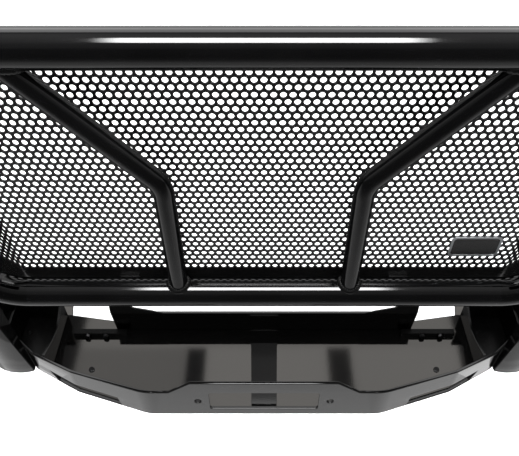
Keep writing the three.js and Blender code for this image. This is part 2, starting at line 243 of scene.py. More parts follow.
def rounded_path(corners, bend=0.0, steps=24):
    """Points and headings along straight runs joined by round bends."""
    corners = [Vector(corner) for corner in corners]
    headings = [(b - a).normalized() for a, b in zip(corners, corners[1:])]
    points = [corners[0]]
    tangents = [headings[0]]
    for corner, before, after in zip(corners[1:-1], headings, headings[1:]):
        angle = before.angle(after)
        axis = before.cross(after).normalized()
        inward = axis.cross(before)
        centre = corner - before * bend * math.tan(angle / 2) + inward * bend
        for i in range(steps + 1):
            turn = Matrix.Rotation(angle * i / steps, 3, axis)
            points.append(centre - turn @ inward * bend)
            tangents.append(turn @ before)
    points.append(corners[-1])
    tangents.append(headings[-1])
    return np.array(points), np.array(tangents)


def rings_along(points, tangents, radii, sides):
    """Circles of points round a path, each turned as little as possible from the one before."""
    angles = 2 * math.pi * np.arange(sides) / sides
    across = np.cross(tangents[0], ASIDE)
    rings = []
    for point, along, radius in zip(points, tangents, radii):
        across = across - along * np.dot(across, along)
        across = across / np.linalg.norm(across)
        up = np.cross(along, across)
        rings.append(point + radius * (np.outer(np.cos(angles), across) + np.outer(np.sin(angles), up)))
    return rings


def skin(rings, closed=False, caps=False):
    """Points and faces of a surface through rings of points."""
    sides = len(rings[0])
    count = len(rings)
    faces = []
    for i in range(count if closed else count - 1):
        here = i * sides
        there = (i + 1) % count * sides
        for j in range(sides):
            k = (j + 1) % sides
            faces.append((here + j, here + k, there + k, there + j))
    if caps:
        faces.append(tuple(reversed(range(sides))))
        faces.append(tuple((count - 1) * sides + j for j in range(sides)))
    return np.concatenate(rings), faces


def tube(corners, radius, bend=0.0, sides=64):
    """A round tube along corners joined by bends."""
    points, tangents = rounded_path(corners, bend)
    return skin(rings_along(points, tangents, [radius] * len(points), sides), caps=True)


def coped(ring, along, y, z, way):
    """A ring of points moved along a tube onto the round tube that it meets, which runs level along x."""
    slope = along[1:]
    offset = ring[:, 1:] - (y, z)
    a = slope @ slope
    b = 2 * offset @ slope
    c = (offset**2).sum(1) - LARGE_RADIUS**2
    reach = (-b + way * np.sqrt(b * b - 4 * a * c)) / (2 * a)
    return ring + np.outer(reach, along)


def weld(loop):
    """A rippled bead along a closed loop of points."""
    ahead = np.roll(loop, -1, 0) - np.roll(loop, 1, 0)
    ahead = ahead / np.linalg.norm(ahead, axis=1)[:, None]
    phase = 2 * math.pi * WELD["ripples"] * np.arange(len(loop)) / len(loop)
    radii = WELD["radius"] * (1 + WELD["ripple_height"] * np.abs(np.sin(phase / 2)))
    return skin(rings_along(loop, ahead, radii, 12), closed=True)


def brace_between(corners, bend, y, low, high):
    """A small tube coped onto a level tube at each end, and the two weld beads round its ends."""
    points, tangents = rounded_path(corners, bend)
    rings = rings_along(points, tangents, [SMALL_RADIUS] * len(points), 48)
    beads = []
    for end, z, way in ((0, low, 1), (-1, high, -1)):
        rings[end] = coped(rings[end], tangents[end], y, z, way)
        root = rings_along(points[[end]], tangents[[end]], [SMALL_RADIUS], WELD_STEPS)[0]
        beads.append(weld(coped(root, tangents[end], y, z, way)))
    return skin(rings), beads


def add_ring():
    y, top, bottom = RING["y"], RING["top"], RING["bottom"]
    straight = RING["half_width"] - RING["bend"]
    for name, z in (("top", top), ("bottom", bottom)):
        run = tube([(-straight, y, z), (straight, y, z)], LARGE_RADIUS)
        add_piece(f"ring_{name}", run, "gloss_black_tube", f"frame_{name}_tube")
    corners = [
        (straight, y, bottom),
        (RING["half_width"], y, bottom),
        (RING["half_width"], y, top),
        (straight, y, top),
    ]
    side_tube = tube(corners, LARGE_RADIUS, RING["bend"] - BEND_ROOM)
    for side, mirror in SIDES:
        node = f"frame_side_tube_{side}"
        add_piece(f"ring_side_{side}", side_tube, "gloss_black_tube", node, mirror=mirror)


def add_braces():
    y = RING["y"]
    corners = [
        (BRACE["foot_x"], y, RING["bottom"]),
        (BRACE["foot_x"], y, BRACE["knee_z"]),
        (BRACE["head_x"], y, RING["top"]),
    ]
    run, beads = brace_between(corners, BRACE["bend"], y, RING["bottom"], RING["top"])
    for side, mirror in SIDES:
        add_piece(f"brace_tube_{side}", run, "gloss_black_tube", f"brace_{side}", mirror=mirror)
        for end, bead in zip(("foot", "head"), beads):
            add_piece(f"brace_{end}_weld_{side}", bead, "satin_black", mirror=mirror)


def swept(shape):
    """A hoop's shape, drawn along +x from the upright, turned back and put in its place."""
    points, faces = shape
    turn = np.array(Matrix.Rotation(math.radians(HOOP["sweep"]), 3, "Z"))
    return np.array(points) @ turn.T + (HOOP["x"], RING["y"], 0), faces


def add_hoops():
    top, bottom = HOOP["top"], HOOP["bottom"]
    straight = HOOP["reach"] - HOOP["bend"]
    corners = [
        (straight, 0, bottom),
        (HOOP["reach"], 0, bottom),
        (HOOP["reach"], 0, top),
        (straight, 0, top),
    ]
    outer = tube(corners, LARGE_RADIUS, HOOP["bend"] - BEND_ROOM)
    for side, mirror in SIDES:
        for name, z in (("upper", top), ("lower", bottom)):
            add_hoop_end(name, z, straight, side, mirror)
        node = f"hoop_outer_tube_{side}"
        add_piece(f"hoop_outer_run_{side}", swept(outer), "gloss_black_tube", node, mirror=mirror)
        add_hoop_brace(side, mirror)


def add_hoop_end(name, z, straight, side, mirror):
    """One level tube of a hoop, its flange on the upright, and the weld between the two."""
    level = tube([(FLANGE["thickness"], 0, z), (straight, 0, z)], LARGE_RADIUS)
    node = f"hoop_{name}_tube_{side}"
    add_piece(f"hoop_{name}_run_{side}", swept(level), "gloss_black_tube", node, mirror=mirror)
    points, faces = flange()
    disc = (points + (HOOP["x"], RING["y"], z), faces)
    node = f"hoop_{name}_flange_{side}"
    add_piece(f"hoop_{name}_disc_{side}", disc, "gloss_black_plate", node, mirror=mirror)
    add_piece(f"hoop_{name}_weld_{side}", weld(hoop_root(z)), "satin_black", mirror=mirror)


def add_hoop_brace(side, mirror):
    """The small upright tube between a hoop's level tubes, and its welds."""
    at, top, bottom = HOOP["brace_at"], HOOP["top"], HOOP["bottom"]
    run, beads = brace_between([(at, 0, bottom), (at, 0, top)], 0, 0, bottom, top)
    node = f"hoop_brace_{side}"
    add_piece(f"hoop_brace_run_{side}", swept(run), "gloss_black_tube", node, mirror=mirror)
    for end, bead in zip(("foot", "head"), beads):
        name = f"hoop_brace_{end}_weld_{side}"
        add_piece(name, swept(bead), "satin_black", mirror=mirror)


def hoop_root(z):
    """The closed line where a hoop's tube meets its flange."""
    angles = 2 * math.pi * np.arange(WELD_STEPS) / WELD_STEPS
    lean = math.radians(HOOP["sweep"])
    face = HOOP["x"] + FLANGE["thickness"]
    across = LARGE_RADIUS * np.cos(angles) / math.cos(lean)
    middle_y = RING["y"] + FLANGE["thickness"] * math.tan(lean)
    return np.stack([np.full_like(angles, face), middle_y + across, z + LARGE_RADIUS * np.sin(angles)], 1)


# ---- Turned pieces and bolts ----------------------------------------------------------------

# The flat top of a bolt head, as a share of the width over its flats.
CROWN_SHARE = 0.96
WASHER_THICKNESS = 1.3
# Name, direction, radius over the corners, and radius of the washer or 0.
BOLTS = (
    ("clamp_bolt_1", (0, -1, 0), 6, 0),
    ("clamp_bolt_2", (0, -1, 0), 6, 0),
    ("deck_bolt", (0, 0, 1), 6, 0),
    ("upright_bolt_1", (1, 0, 0), 8, 11),
    ("upright_bolt_2", (1, 0, 0), 8, 11),
)


def lathe(profile, sides=48):
    """A shape turned about z, from pairs of radius and height."""
    angles = 2 * math.pi * np.arange(sides) / sides
    circle = np.stack([np.cos(angles), np.sin(angles), np.zeros(sides)], 1)
    return skin([circle * radius + (0, 0, height) for radius, height in profile], caps=True)


def turned_to(shape, axis):
    """A shape whose z axis is turned to point along the axis."""
    points, faces = shape
    turn = np.array(Vector(axis).to_track_quat("Z", "Y").to_matrix())
    return np.array(points) @ turn.T, faces


def flange():
    """A disc with a rounded outer edge, whose back is at x = 0."""
    radius, thickness, chamfer = FLANGE["radius"], FLANGE["thickness"], FLANGE["chamfer"]
    bulge = 0.3 * chamfer
    profile = [
        (radius, 0),
        (radius, thickness - chamfer),
        (radius - bulge, thickness - bulge),
        (radius - chamfer, thickness),
    ]
    return turned_to(lathe(profile), (1, 0, 0))


def hex_bolt(radius, height, washer=0.0, sides=48):
    """A hexagonal head with a turned chamfer, on a washer if that has a radius."""
    sixth = math.pi / 3
    flat = radius * math.cos(sixth / 2)
    crown = CROWN_SHARE * flat
    angles = 2 * math.pi * np.arange(sides) / sides
    outline = flat / np.cos((angles + sixth / 2) % sixth - sixth / 2)
    circle = np.stack([np.cos(angles), np.sin(angles)], 1)
    shoulder = height - (outline - crown) * math.tan(sixth / 2)
    rings = [
        np.column_stack([circle * outline[:, None], np.zeros(sides)]),
        np.column_stack([circle * outline[:, None], shoulder]),
        np.column_stack([circle * crown, np.full(sides, height)]),
    ]
    head = skin(rings, caps=True)
    if not washer:
        return head
    bevel = 0.4
    profile = [(washer, 0), (washer, WASHER_THICKNESS - bevel), (washer - bevel, WASHER_THICKNESS)]
    return joined(head, lathe(profile))


def add_bolts():
    """The bolt heads; each gets its place and height from the CAD's own."""
    for name, axis, radius, washer in BOLTS:
        low, high = (np.array(corner) * 1000 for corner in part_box(f"{name}_right"))
        along = np.array(axis, float)
        middle = (low + high) / 2
        reach = abs((high - low) @ along)
        base = middle - along * reach / 2 - (0, SHIFT, 0)
        points, faces = turned_to(hex_bolt(radius, reach, washer), axis)
        for side, mirror in SIDES:
            shape = (points + base, faces)
            add_piece(f"{name}_head_{side}", shape, "black_zinc", f"{name}_{side}", mirror=mirror, sharp=25)


# ---- Flat plates, and plates bent round a line ----------------------------------------------


def arc(x, y, radius, start, end, steps):
    """Points on an arc, with its angles in degrees."""
    angles = np.radians(np.linspace(start, end, steps + 1))
    return [(x + radius * math.cos(a), y + radius * math.sin(a)) for a in angles]


def rounded_rectangle(x, y, width, height, corner, steps=6):
    """A rectangle's outline round its middle, with round corners."""
    right, left = x + width / 2 - corner, x - width / 2 + corner
    top, bottom = y + height / 2 - corner, y - height / 2 + corner
    return [
        *arc(right, top, corner, 0, 90, steps),
        *arc(left, top, corner, 90, 180, steps),
        *arc(left, bottom, corner, 180, 270, steps),
        *arc(right, bottom, corner, 270, 360, steps),
    ]


def mirrored(half):
    """A symmetrical row of points from its right half, given from the middle outwards."""
    return [(-x, y) for x, y in reversed(half)] + list(half)


def turning(loop, way):
    """The loop turning anticlockwise for way 1, or clockwise for -1."""
    points = np.array(loop, float)
    x, y = points.T
    area = (x * np.roll(y, -1) - np.roll(x, -1) * y).sum()
    return points if area * way > 0 else points[::-1]


def inset(loop, distance):
    """A closed loop moved to its left, with mitred corners."""
    edges = loop - np.roll(loop, 1, 0)
    before = np.stack([-edges[:, 1], edges[:, 0]], 1) / np.linalg.norm(edges, axis=1)[:, None]
    after = np.roll(before, -1, 0)
    mitre = 1 + (before * after).sum(1)
    return loop + distance * (before + after) / mitre[:, None]


def edge_levels(thickness, edge):
    """The steps of a plate's rounded edges from front to back: how far in, and how deep."""
    levels = []
    for angle in (0, 30, 60, 90):
        in_by = edge * (1 - math.sin(math.radians(angle)))
        depth = edge * (1 - math.cos(math.radians(angle)))
        levels.append((in_by, depth))
    return levels + [(in_by, thickness - depth) for in_by, depth in reversed(levels)]


def plate(outline, holes=(), thickness=SHEET, edge=EDGE):
    """A flat plate with rounded edges, whose front is at depth 0 and back at its thickness."""
    loops = [turning(outline, 1), *(turning(hole, -1) for hole in holes)]
    levels = edge_levels(thickness, edge)
    points, faces, front, back = [], [], [], []
    for loop in loops:
        start = len(points)
        size = len(loop)
        for in_by, depth in levels:
            points += [(x, y, depth) for x, y in inset(loop, in_by)]
        for level in range(len(levels) - 1):
            here = start + level * size
            for j in range(size):
                k = (j + 1) % size
                faces.append((here + j, here + size + j, here + size + k, here + k))
        front += range(start, start + size)
        back += range(len(points) - size, len(points))
    rows = [[Vector((x, y, 0)) for x, y in inset(loop, edge)] for loop in loops]
    for triangle in geometry.tessellate_polygon(rows):
        a, b, c = (np.array(points[front[i]]) for i in triangle)
        if np.cross(b - a, c - a)[2] > 0:
            triangle = tuple(reversed(triangle))
        faces.append(tuple(front[i] for i in reversed(triangle)))
        faces.append(tuple(back[i] for i in triangle))
    return np.array(points), faces


class BentLine:
    """A line of straight runs joined by round bends, measured along itself from where x is 0."""

    STEP = 0.25

    def __init__(self, corners, bends):
        corners = np.array(corners, float)
        runs = np.diff(corners, axis=0)
        lengths = np.linalg.norm(runs, axis=1)
        headings = np.arctan2(runs[:, 1], runs[:, 0])
        self.knots, turns = self.ends_of_runs(lengths, headings, bends)
        length = self.knots[-1]
        self.s = np.linspace(0, length, max(2, int(length / self.STEP)))
        self.heading = np.interp(self.s, self.knots, turns)
        step = self.s[1]
        middle = (self.heading[1:] + self.heading[:-1]) / 2
        self.x = corners[0][0] + np.concatenate([[0], np.cumsum(np.cos(middle) * step)])
        self.y = corners[0][1] + np.concatenate([[0], np.cumsum(np.sin(middle) * step)])
        zero = np.interp(0, self.x, self.s)
        self.s = self.s - zero
        self.knots = self.knots - zero

    @staticmethod
    def ends_of_runs(lengths, headings, bends):
        """The distances where straight runs begin and end, and the headings there."""
        knots, turns = [0.0], [headings[0]]
        along = 0.0
        previous = 0.0
        for i, bend in enumerate(bends):
            turn = headings[i + 1] - headings[i]
            trim = bend * math.tan(abs(turn) / 2)
            along += lengths[i] - trim - previous
            knots.append(along)
            turns.append(headings[i])
            along += bend * abs(turn)
            knots.append(along)
            turns.append(headings[i + 1])
            previous = trim
        along += lengths[-1] - previous
        knots.append(along)
        turns.append(headings[-1])
        return np.array(knots), turns

    def at(self, x):
        """The distance along the line at a place seen from the front."""
        return float(np.interp(x, self.x, self.s))

    def place(self, s, depth):
        """The points at distances along the line and depths to its left."""
        x, y, turn = (np.interp(s, self.s, values) for values in (self.x, self.y, self.heading))
        return x - depth * np.sin(turn), y + depth * np.cos(turn)

    def cuts(self, spacing):
        """Distances at which a flat plate is cut so that it can follow the bends."""
        found = []
        for start, end in zip(self.knots[1:-1:2], self.knots[2::2]):
            count = max(2, int((end - start) / spacing))
            found += list(np.linspace(start, end, count + 1))
        return found


def split(shape, cuts):
    """A shape cut by planes across x."""
    points, faces = shape
    mesh = bmesh.new()
    corners = [mesh.verts.new(point) for point in points]
    for face in faces:
        mesh.faces.new([corners[i] for i in face])
    for x in cuts:
        parts = mesh.verts[:] + mesh.edges[:] + mesh.faces[:]
        bmesh.ops.bisect_plane(mesh, geom=parts, plane_co=(x, 0, 0), plane_no=(1, 0, 0), dist=1e-4)
    mesh.verts.index_update()
    result = ([tuple(v.co) for v in mesh.verts], [[v.index for v in f.verts] for f in mesh.faces])
    mesh.free()
    return result


def bent(shape, line, spacing=3.0):
    """A flat plate drawn as distance, height and depth, bent round an upright line."""
    points, faces = split(shape, line.cuts(spacing))
    s, height, depth = np.array(points).T
    x, y = line.place(s, depth)
    return np.stack([x, y, height], 1), faces


def add_front_plate():
    """The plate with the fairlead slot and the light slots, drawn flat and bent six times."""
    line = BentLine(mirrored(FRONT_LINE[1:]), [*reversed(FRONT_BENDS), *FRONT_BENDS])
    end = line.knots[-1]
    top = [(min(line.at(x), end), z) for x, z in FRONT_TOP]
    outline = [(-end, 0), (end, 0), *reversed(mirrored(top))]
    width, height, middle, corner = (FAIRLEAD[key] for key in ("width", "height", "z", "corner"))
    holes = [rounded_rectangle(0, middle, width, height, corner)]
    for _, mirror in SIDES:
        holes.append(arc(mirror * FAIRLEAD["hole_x"], middle, FAIRLEAD["hole_radius"], 0, 350, 35))
        holes.append([(mirror * line.at(x), z) for x, z in LIGHT_SLOT])
    shape = bent(plate(outline, holes, SHEET, FRONT_PLATE_EDGE), line)
    piece = add_piece("front_plate", shape, "gloss_black_plate", "tray_front_plate")
    weight_normals(piece)


def nose_distance(x):
    """How far round the nose's curve a place seen from the front is from its foremost line."""
    return NOSE["radius"] * math.asin((x - NOSE["x"]) / NOSE["radius"])


def add_noses():
    """The curved covers on the uprights, drawn flat and then rolled, each with its folded strip."""
    foot = nose_distance(NOSE["inner"])
    head = nose_distance(NOSE["inner"] + NOSE_LEAN)
    outer = nose_distance(NOSE["outer"])
    centre_z = NOSE_HEIGHT - NOSE_CORNER
    outline = [
        (foot, 0),
        (outer, 0),
        *arc(outer - NOSE_CORNER, centre_z, NOSE_CORNER, 0, 90, 6),
        *arc(head + NOSE_CORNER, centre_z, NOSE_CORNER, 90, 180, 6),
    ]
    flat = plate(outline, (), NOSE["thickness"])
    points, faces = split(flat, np.linspace(foot + 1, outer - 1, 48))
    s, height, depth = np.array(points).T
    angle = s / NOSE["radius"]
    reach = NOSE["radius"] - depth
    x = NOSE["x"] + reach * np.sin(angle)
    y = NOSE["front"] + NOSE["radius"] - reach * np.cos(angle)
    cover = (np.stack([x, y, height], 1), faces)
    shape = joined(cover, nose_fold(centre_z))
    for side, mirror in SIDES:
        node = f"upright_nose_{side}"
        weight_normals(add_piece(f"nose_{side}", shape, "gloss_black_plate", node, mirror=mirror))


def nose_fold(top, levels=12):
    """The strip along a nose's leaning inner edge, folded back to the line of the front plate."""
    (near_x, near_y), (far_x, far_y) = FRONT_LINE[-2:]
    thickness = NOSE["thickness"]
    rings = []
    for z in np.linspace(0, top, levels):
        x = NOSE["inner"] + NOSE_LEAN * z / NOSE_HEIGHT
        front = NOSE["front"] + NOSE["radius"] - math.sqrt(NOSE["radius"] ** 2 - (x - NOSE["x"]) ** 2)
        back = near_y + (x - near_x) * (far_y - near_y) / (far_x - near_x) - GAP
        front += thickness / 2
        corners = [(x, front), (x, back), (x + thickness, back), (x + thickness, front)]
        rings.append(np.array([(*corner, z) for corner in corners]))
    return skin(rings, caps=True)


def add_strap():
    """The strap is drawn flat along its length, then bent up once."""
    low = SHEET + GAP
    corners = [(STRAP["from"], low), (STRAP["to"], low), (STRAP["to"], STRAP["top"])]
    line = BentLine(corners, [STRAP["bend"]])
    start, end = line.s[0], line.s[-1]
    front, rear = STRAP["front_width"] / 2, STRAP["rear_width"] / 2
    outline = [(start, -front), (end, -rear), (end, rear), (start, front)]
    flat = plate(outline, (), STRAP_THICKNESS, STRAP_EDGE)
    points, faces = split(flat, line.cuts(1.0))
    s, across, depth = np.array(points).T
    y, z = line.place(s, depth)
    shape = (np.stack([across, y, z], 1), faces)
    piece = add_piece("centre_strap", shape, "gloss_black_plate", "tray_centre_strap")
    weight_normals(piece)


def add_badge():
    """A plain plate with a raised rim and no lettering."""
    x, z, width, height = (BADGE[key] for key in ("x", "z", "width", "height"))
    face = rounded_rectangle(x, z, width, height, BADGE["corner"])
    inner_width, inner_height = width - 2 * BADGE_RIM, height - 2 * BADGE_RIM
    field = rounded_rectangle(x, z, inner_width, inner_height, BADGE["corner"] - BADGE_RIM / 2)
    under_rim = inset(turning(field, 1), -BADGE_EDGE)
    back = -GAP
    for name, outline, holes, front, slot, nodes in (
        ("badge_rim", face, [field], back - BADGE["thickness"], "badge_metal", ["badge_plate"]),
        ("badge_field", under_rim, [], back - BADGE_FIELD_THICKNESS, "screen_black", []),
    ):
        points, faces = plate(outline, holes, back - front, BADGE_EDGE)
        across, up, depth = points.T
        shape = (np.stack([across, front + depth, up], 1), faces)
        weight_normals(add_piece(name, shape, slot, *nodes))


# ---- The perforated screen ------------------------------------------------------------------


def side_of(a, b, point):
    """Above zero where a point is to the left of the line from a to b."""
    return (b[0] - a[0]) * (point[1] - a[1]) - (b[1] - a[1]) * (point[0] - a[0])


def clipped(polygon, outline):
    """A convex polygon cut to a convex anticlockwise outline."""
    for a, b in zip(outline, np.roll(outline, -1, 0)):
        kept = []
        for p, q in zip(polygon, polygon[1:] + polygon[:1]):
            side_p, side_q = side_of(a, b, p), side_of(a, b, q)
            if side_p >= 0:
                kept.append(p)
            if (side_p > 0 > side_q) or (side_p < 0 < side_q):
                share = side_p / (side_p - side_q)
                kept.append((p[0] + share * (q[0] - p[0]), p[1] + share * (q[1] - p[1])))
        polygon = kept
        if len(polygon) < 3:
            return []
    return polygon


def depth_inside(points, outline):
    """How far points are inside a convex outline; below zero is outside."""
    ahead = np.roll(outline, -1, 0) - outline
    length = np.linalg.norm(ahead, axis=1)
    keep = length > 1e-6
    start, ahead = outline[keep], ahead[keep] / length[keep, None]
    offset = points[:, None, :] - start[None]
    return (ahead[None, :, 0] * offset[..., 1] - ahead[None, :, 1] * offset[..., 0]).min(1)


def cell_centres(outline):
    """The middles of all the pattern's cells in and just round the outline, row by row."""
    pitch = HOLE["pitch"]
    row = pitch * math.sin(math.pi / 3)
    low, high = outline.min(0) - pitch, outline.max(0) + pitch
    first_row, last_row = (low[1] - HOLE["row_z"]) / row, (high[1] - HOLE["row_z"]) / row
    for j in range(math.floor(first_row), math.ceil(last_row)):
        shift = 0.5 if j % 2 == 0 else 0.0
        for i in range(math.floor(low[0] / pitch), math.ceil(high[0] / pitch)):
            yield np.array([(i + shift) * pitch, HOLE["row_z"] + j * row])


def has_hole(centre, outline):
    """Whether a hole here is clear of the screen's edges and of the plain strip."""
    from_edge = depth_inside(centre[None], outline)[0] - HOLE["radius"]
    return from_edge > HOLE_MARGIN and centre[1] - HOLE["radius"] > PLAIN_STRIP_TOP


def sheet_cells(outline):
    """The screen's front as flat polygons: six-sided cells, of which those with a hole are rings."""
    pitch, radius, sides = HOLE["pitch"], HOLE["radius"], HOLE["sides"]
    turn = 2 * math.pi * np.arange(sides) / sides
    circle = np.stack([np.cos(turn), np.sin(turn)], 1)
    reach = np.where(np.arange(sides) % 2 == 0, pitch / 2, pitch / math.sqrt(3))
    cell = circle * reach[:, None]
    polygons = []
    for centre in cell_centres(outline):
        corners = centre + cell
        inside = depth_inside(corners, outline)
        if inside.max() < 0:
            continue
        if inside.min() >= 0 and has_hole(centre, outline):
            hole = centre + circle * radius
            for k in range(sides):
                n = (k + 1) % sides
                polygons.append([corners[k], corners[n], hole[n], hole[k]])
        else:
            whole = clipped([tuple(corner) for corner in corners], outline)
            if whole:
                polygons.append(whole)
    return polygons


def merged(polygons, steps_per_mm=50):
    """Shared points and faces from separate flat polygons; points in one step's place are one."""
    numbers, points, faces = {}, [], []
    for polygon in polygons:
        face = []
        for x, y in polygon:
            key = (round(x * steps_per_mm), round(y * steps_per_mm))
            if key not in numbers:
                numbers[key] = len(points)
                points.append((x, y))
            if numbers[key] not in face:
                face.append(numbers[key])
        if len(face) > 2:
            faces.append(tuple(face))
    return points, faces


def thickened(points, faces, thickness):
    """A flat sheet given a back and walls round its outline and holes."""
    count = len(points)
    solid = [(x, y, 0) for x, y in points] + [(x, y, thickness) for x, y in points]
    edges = {(face[i], face[(i + 1) % len(face)]) for face in faces for i in range(len(face))}
    walls = [(b, a, a + count, b + count) for a, b in edges if (b, a) not in edges]
    backs = [tuple(count + i for i in reversed(face)) for face in faces]
    return solid, [*faces, *backs, *sorted(walls)]


def add_screen():
    """The screen's flat middle and its two sides, which are folded back."""
    fold = math.radians(SCREEN["fold"])
    edge_x = SCREEN["flat_half"] + SCREEN["side"] * math.cos(fold)
    edge_y = SCREEN["side"] * math.sin(fold)
    corners = [(-edge_x, edge_y), (-SCREEN["flat_half"], 0), (SCREEN["flat_half"], 0), (edge_x, edge_y)]
    line = BentLine(corners, [SCREEN["bend"]] * 2)
    height = SCREEN["top"] - SCREEN["bottom"]
    middle = (SCREEN["top"] + SCREEN["bottom"]) / 2
    face = rounded_rectangle(0, middle, 2 * edge_x, height, SCREEN_CORNER, steps=10)
    outline = np.array([(line.at(x), z) for x, z in turning(face, 1)])
    points, faces = thickened(*merged(sheet_cells(outline)), SCREEN_THICKNESS)
    s, z, depth = np.array(points).T
    x, y = line.place(s, depth)
    shape = (np.stack([x, y, z], 1), faces)
    add_piece("perforated_screen", shape, "screen_black", "grille_screen")


# ---- CAD pieces that stay -------------------------------------------------------------------

# The end walls are gloss, but shown satin so that they don't mirror the lit deck.
SATIN_NODES = ("tray_pocket_floor", "tray_end_wall", "clamp_bar", "screen_tab")


def finish_cad_pieces():
    """The plain plates keep their CAD mesh, with rounded edges and a better material."""
    for name, node in sorted(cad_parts.items()):
        if node.hide_render:
            continue
        slot = "satin_black" if name.startswith(SATIN_NODES) else "gloss_black_plate"
        for holder in node.material_slots:
            holder.material = MATERIALS[slot]
        weld_points = node.modifiers.new("shared_corners", "WELD")
        weld_points.merge_threshold = 1e-5
        round_edges = node.modifiers.new("round_edges", "BEVEL")
        round_edges.width = EDGE / 1000
        round_edges.segments = 2
        round_edges.limit_method = "ANGLE"
        round_edges.angle_limit = math.radians(40)
        for face in node.data.polygons:
            face.use_smooth = True
        weight_normals(node)


add_ring()
add_braces()
add_hoops()
add_bolts()
add_front_plate()
add_noses()
add_strap()
add_badge()
add_screen()
finish_cad_pieces()

# ---- The studio -----------------------------------------------------------------------------

# The room's brightness by elevation from the front horizon, over the top, to the back: degrees, level.
# Negative degrees are below the horizon.
ROOM = [
    (-180, 0.3),
    (-124, 0.06),
    (-107, 0.1),
    (-96, 0.65),
    (-76, 0.8),
    (-62, 0.58),
    (-50, 0.5),
    (-42, 0.28),
    (-30, 0.1),
    (-15, 0.06),
    (22, 0.07),
    (32, 0.2),
    (48, 0.25),
    (60, 0.4),
    (92, 0.6),
    (106, 0.5),
    (112, 0.15),
    (138, 0.15),
    (143, 1.7),
    (158, 1.3),
    (171, 1.15),
    (180, 0.9),
]
# The strength of the room's light, which is above every level in it.
ROOM_TOP = 2.0

# Places and sizes are in millimetres here too, and a lamp of level 1 is as bright as the background.
# The tray mirrors two dark gaps between the panels of the ceiling.
CEILING_Z = 2500
LEFT_GAP = (-552, -417)
RIGHT_GAP = (455, 619)
CEILING_X = (-1340, 1420)
NEAR, FAR, BACK = 900, 1637, 2700
WARM = (1.0, 0.96, 0.91)
# Name, range of x, range of y and level.
TRAY_CEILING = (
    ("tray_ceiling", (LEFT_GAP[1], RIGHT_GAP[0]), (NEAR, FAR), 2.75),
    ("tray_ceiling_right", (RIGHT_GAP[1], CEILING_X[1]), (NEAR, FAR), 2.6),
    ("tray_ceiling_left", (CEILING_X[0], LEFT_GAP[0]), (NEAR, FAR), 1.7),
    ("tray_ceiling_back", CEILING_X, (FAR, BACK), 2.3),
)
# The ceiling that the strap mirrors gets darker towards the back: near, far, level.
STRAP_CEILING = ((1100, 1215, 2.0), (1215, 1330, 0.6), (1330, 1560, 0.25), (1560, 1700, 0.1))
# Lamps in the floor close in front, on each side, with the same values and what they light.
FLOOR_LAMPS = (
    ("bend", (212, 262), (-500, -60), 0.5, "front"),
    ("wing", (262, 513), (-500, -19), 0.47, "front"),
    ("tip", (430, 513), (-300, -19), 0.8, "front"),
    ("nose", (470, 640), (-54, -20), 0.55, "noses"),
    ("nose_wide", (470, 640), (-110, -20), 0.45, "noses"),
)
SOFTBOX = {"y": -851, "z": 2870, "width": 1750, "depth": 1150, "level": 32}
FLOOR_SIZE = 12000
# It looks down by this many degrees.
CAMERA = {"y": -646, "z": 1064, "down": 45.4, "lens": 39.47, "sensor": 36, "shift": -0.0087}

# How the names start of the pieces that have lamps of their own.
LIT = {
    "tray": "tray_deck",
    "arms": "frame_arm",
    "strap": "centre_strap",
    "front": "front_plate",
    "noses": "nose_",
}
# How the names start of the pieces that the rear ceiling doesn't light.
NO_REAR_CEILING = (
    "tray_deck",
    "frame_arm",
    "tray_pocket",
    "tray_end_wall",
    "tray_outer_wall",
    "clamp_bar",
    "deck_bolt",
    "centre_strap",
    "ring_bottom",
)


def add_math(tree, operation, *values):
    """The result of a math node whose inputs are numbers or other nodes' outputs."""
    node = new_node(tree, "ShaderNodeMath", operation=operation)
    for socket, value in zip(node.inputs, values):
        if isinstance(value, bpy.types.NodeSocket):
            tree.links.new(value, socket)
        else:
            socket.default_value = value
    return node.outputs[0]


def generated_axes(tree):
    """The outputs X, Y and Z of the generated coordinates."""
    place = new_node(tree, "ShaderNodeTexCoord")
    parts = new_node(tree, "ShaderNodeSeparateXYZ")
    tree.links.new(place.outputs["Generated"], parts.inputs[0])
    return parts.outputs


def room_colour(tree):
    """The room's colour in the direction of a ray, as a share of ROOM_TOP."""
    link = tree.links.new
    axes = generated_axes(tree)
    front = add_math(tree, "MULTIPLY", axes["Y"], -1)
    angle = add_math(tree, "ARCTAN2", axes["Z"], front)
    share = new_node(tree, "ShaderNodeMapRange", inputs={"From Min": -math.pi, "From Max": math.pi})
    link(angle, share.inputs["Value"])
    ramp = new_node(tree, "ShaderNodeValToRGB")
    stops = ramp.color_ramp.elements
    while len(stops) > 1:
        stops.remove(stops[-1])
    for i, (degrees, level) in enumerate(ROOM):
        where = (degrees + 180) / 360
        stop = stops[0] if i == 0 else stops.new(where)
        stop.position = where
        stop.color = (*[level / ROOM_TOP] * 3, 1)
    link(share.outputs["Result"], ramp.inputs["Fac"])
    return ramp.outputs["Color"]


def build_world():
    """White to the camera; a dim studio room to everything that reflects or is lit."""
    world = bpy.data.worlds.new("studio")
    bpy.context.scene.world = world
    world.use_nodes = True
    tree = world.node_tree
    tree.nodes.clear()
    link = tree.links.new
    room = new_node(tree, "ShaderNodeBackground", inputs={"Strength": ROOM_TOP})
    link(room_colour(tree), room.inputs["Color"])
    white = new_node(tree, "ShaderNodeBackground", inputs={"Color": (1, 1, 1, 1), "Strength": 1.0})
    ray = new_node(tree, "ShaderNodeLightPath")
    choice = new_node(tree, "ShaderNodeMixShader")
    link(ray.outputs["Is Camera Ray"], choice.inputs[0])
    link(room.outputs[0], choice.inputs[1])
    link(white.outputs[0], choice.inputs[2])
    output = new_node(tree, "ShaderNodeOutputWorld")
    link(choice.outputs[0], output.inputs["Surface"])


